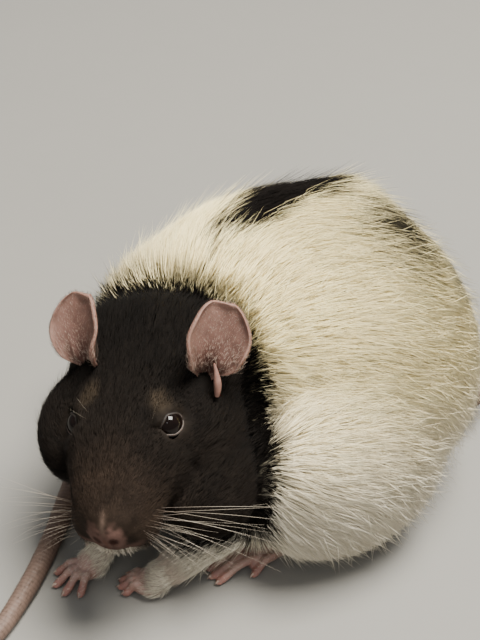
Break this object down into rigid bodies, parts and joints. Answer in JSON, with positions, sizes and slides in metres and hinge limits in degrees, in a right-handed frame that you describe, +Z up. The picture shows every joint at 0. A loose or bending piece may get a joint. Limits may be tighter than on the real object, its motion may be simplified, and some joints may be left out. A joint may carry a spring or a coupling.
{
  "type": "rat model",
  "caption": "Life-size still model of a hunched pet rat with a dark hood and a pale body, its head turned to its left and its tail laid round its right side.",
  "frame": {"origin": "middle of the whole box, on the floor", "axes": "+Z up, -Y the way the chest points, +X the rat's left side; the tail runs ahead of the paws, so Y is the longest extent"},
  "size_m": [0.1018, 0.1884, 0.0839],
  "materials": {
    "white_fur": "short cream-white coat",
    "hood_fur": "short black-brown coat",
    "bare_skin": "thin pink skin with fine hairs",
    "tail_skin": "ringed scaly skin",
    "eye": "wet gloss"
  },
  "bodies": {
    "root": {"torso": "white_fur", "haunch_left": "white_fur", "haunch_right": "white_fur", "foreleg_left": "white_fur", "foreleg_right": "white_fur", "neck": "hood_fur", "head": "hood_fur", "muzzle": "hood_fur", "eye_left": "eye", "eye_right": "eye", "ear_left": "bare_skin", "ear_right": "bare_skin", "forepaw_left": "bare_skin", "forepaw_right": "bare_skin", "hindfoot_left": "bare_skin", "hindfoot_right": "bare_skin", "tail_root": "tail_skin", "tail_middle": "tail_skin", "tail_tip": "tail_skin"}
  },
  "joints": []
}
